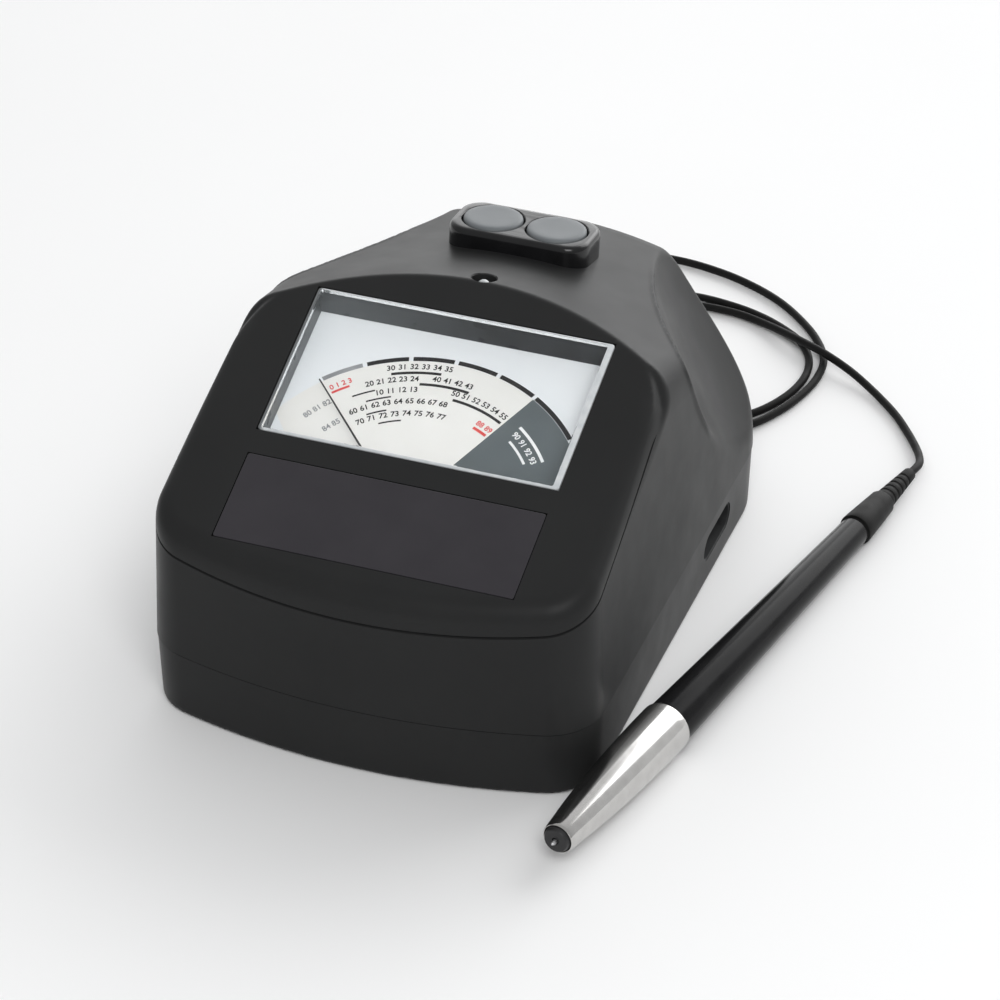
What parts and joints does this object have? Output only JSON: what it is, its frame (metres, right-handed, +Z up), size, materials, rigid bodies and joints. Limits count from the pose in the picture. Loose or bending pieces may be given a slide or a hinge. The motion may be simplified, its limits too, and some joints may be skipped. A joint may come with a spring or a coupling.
{
  "type": "gemstone tester",
  "caption": "Wedge-shaped counter gemstone tester with a tilted needle meter, round keys on its roof, a side rocker switch and a pen probe beside it on a thin looped cord.",
  "frame": {"origin": "middle of the flat underside of the housing, on the counter", "axes": "+Z up from the counter; -Y is the front, towards which the face tilts; +X is the side with the rocker switch and the probe"},
  "size_m": [0.1402, 0.2473, 0.0788],
  "materials": {
    "housing_plastic": "satin charcoal, fine moulded grain",
    "label_film": "satin film",
    "clear_window": "polished clear",
    "dark_plastic": "matt",
    "rubber_black": "matt",
    "dial_white": "satin enamel",
    "steel": "bright",
    "brass": "turned",
    "copper": "bright copper",
    "needle_black": "painted",
    "key_grey": "satin",
    "board_green": "satin",
    "cell_jacket": "gloss",
    "chrome": "polished",
    "gloss_black": "gloss"
  },
  "bodies": {
    "base": {"upper_housing": "housing_plastic", "lower_housing": "housing_plastic", "battery_door": "housing_plastic", "foot_pads": "rubber_black", "housing_screws": "steel", "label_plate": "label_film", "meter_cover": "clear_window", "meter_case": "dark_plastic", "meter_screws": "steel", "dial_plate": "dial_white", "dial_screws": "steel", "magnet_ring": "steel", "magnet_core": "steel", "meter_bridge": "brass", "lower_jewel": "brass", "meter_terminals": "brass", "key_block": "dark_plastic", "key_sheet": "rubber_black", "key_board": "board_green", "key_screws": "steel", "lamp_lens": "clear_window", "lamp_holder": "dark_plastic", "main_board": "board_green", "board_parts": "dark_plastic", "board_screws": "steel", "battery_cells": "cell_jacket", "battery_contacts": "steel", "rocker_frame": "dark_plastic", "rocker_pin": "steel", "switch_body": "dark_plastic", "cord_gland": "rubber_black", "cord": "rubber_black"},
    "needle": {"needle": "needle_black", "needle_shaft": "steel", "moving_coil": "copper", "hairspring": "copper"},
    "left_key": {"left_key": "key_grey"},
    "right_key": {"right_key": "key_grey"},
    "rocker": {"rocker": "dark_plastic"},
    "probe": {"probe_cone": "chrome", "probe_barrel": "gloss_black", "probe_insert": "gloss_black", "tip_carrier": "brass", "tip_spring": "steel", "probe_board": "board_green", "tail_sleeve": "rubber_black", "probe_relief": "rubber_black"},
    "probe_tip": {"probe_tip": "copper"}
  },
  "joints": [
    {"name": "needle_swing", "type": "hinge", "parent": "base", "child": "needle", "pos_m": [0, -0.04851, 0.05726], "axis": [0, 0.3584, -0.9336], "range_deg": [0, 92], "stiffness_Nm_per_rad": 0.00004, "springref_deg": -22.92},
    {"name": "left_key_press", "type": "slide", "parent": "base", "child": "left_key", "axis": [0, -0.1219, -0.9925], "range_m": [0, 0.001], "stiffness_N_per_m": 600, "springref_m": -0.0005},
    {"name": "right_key_press", "type": "slide", "parent": "base", "child": "right_key", "axis": [0, -0.1219, -0.9925], "range_m": [0, 0.001], "stiffness_N_per_m": 600, "springref_m": -0.0005},
    {"name": "rocker_switch", "type": "hinge", "parent": "base", "child": "rocker", "pos_m": [0.049, 0.0255, 0.0102], "axis": [0, 0, 1], "range_deg": [0, 8]},
    {"name": "probe_lift", "type": "slide", "parent": "base", "child": "probe", "axis": [0, 0, 1], "range_m": [0, 0.06]},
    {"name": "tip_press", "type": "slide", "parent": "probe", "child": "probe_tip", "axis": [0.1908, 0.9814, -0.0224], "range_m": [0, 0.0012], "stiffness_N_per_m": 400, "springref_m": -0.0005}
  ]
}
